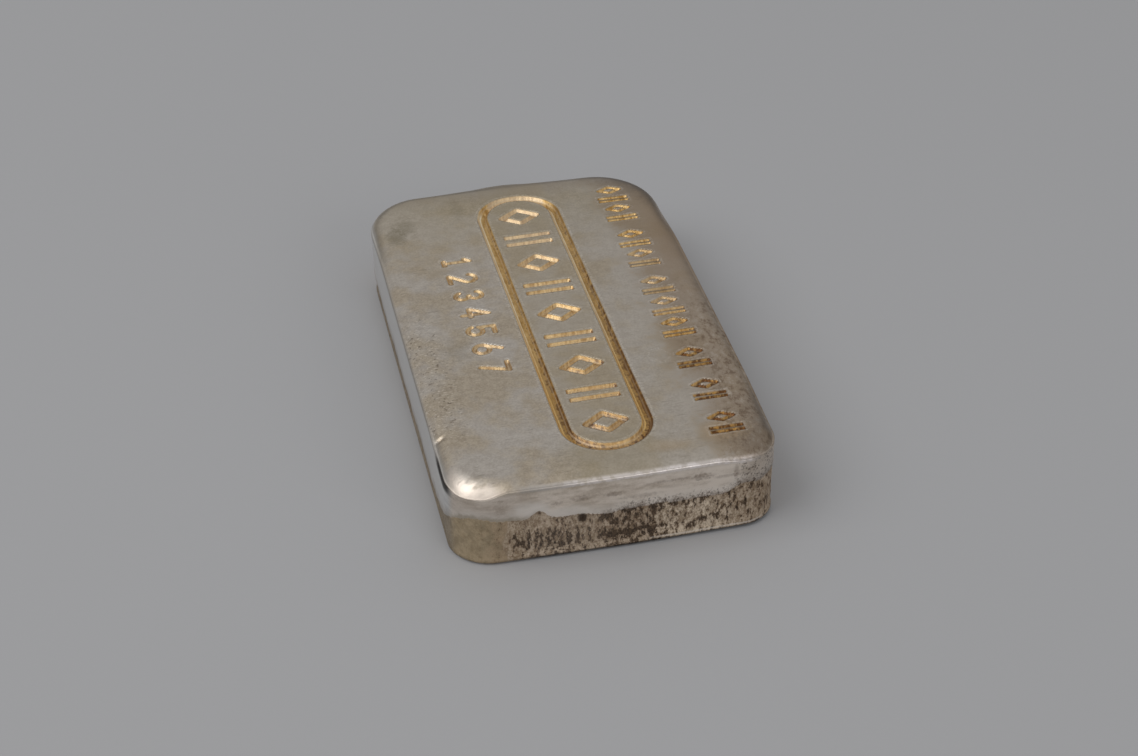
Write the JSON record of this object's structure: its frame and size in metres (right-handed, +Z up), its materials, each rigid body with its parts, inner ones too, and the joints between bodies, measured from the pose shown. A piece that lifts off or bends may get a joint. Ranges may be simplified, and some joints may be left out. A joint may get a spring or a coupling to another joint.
{
  "type": "silver bar",
  "caption": "Small pressed silver bar with bowed ends, rounded corners and a toned top carrying an ornamental frame, a line of border ornament and a plain number",
  "frame": {"origin": "Middle of the underside, on the surface that the bar rests on", "axes": "+X across the bar towards the side with the line of border ornament, +Y along the bar's length, +Z up out of the marked top"},
  "size_m": [0.0394, 0.0692, 0.0113],
  "materials": {
    "silver": "satin"
  },
  "bodies": {
    "root": {"silver_bar": "silver"}
  },
  "joints": []
}
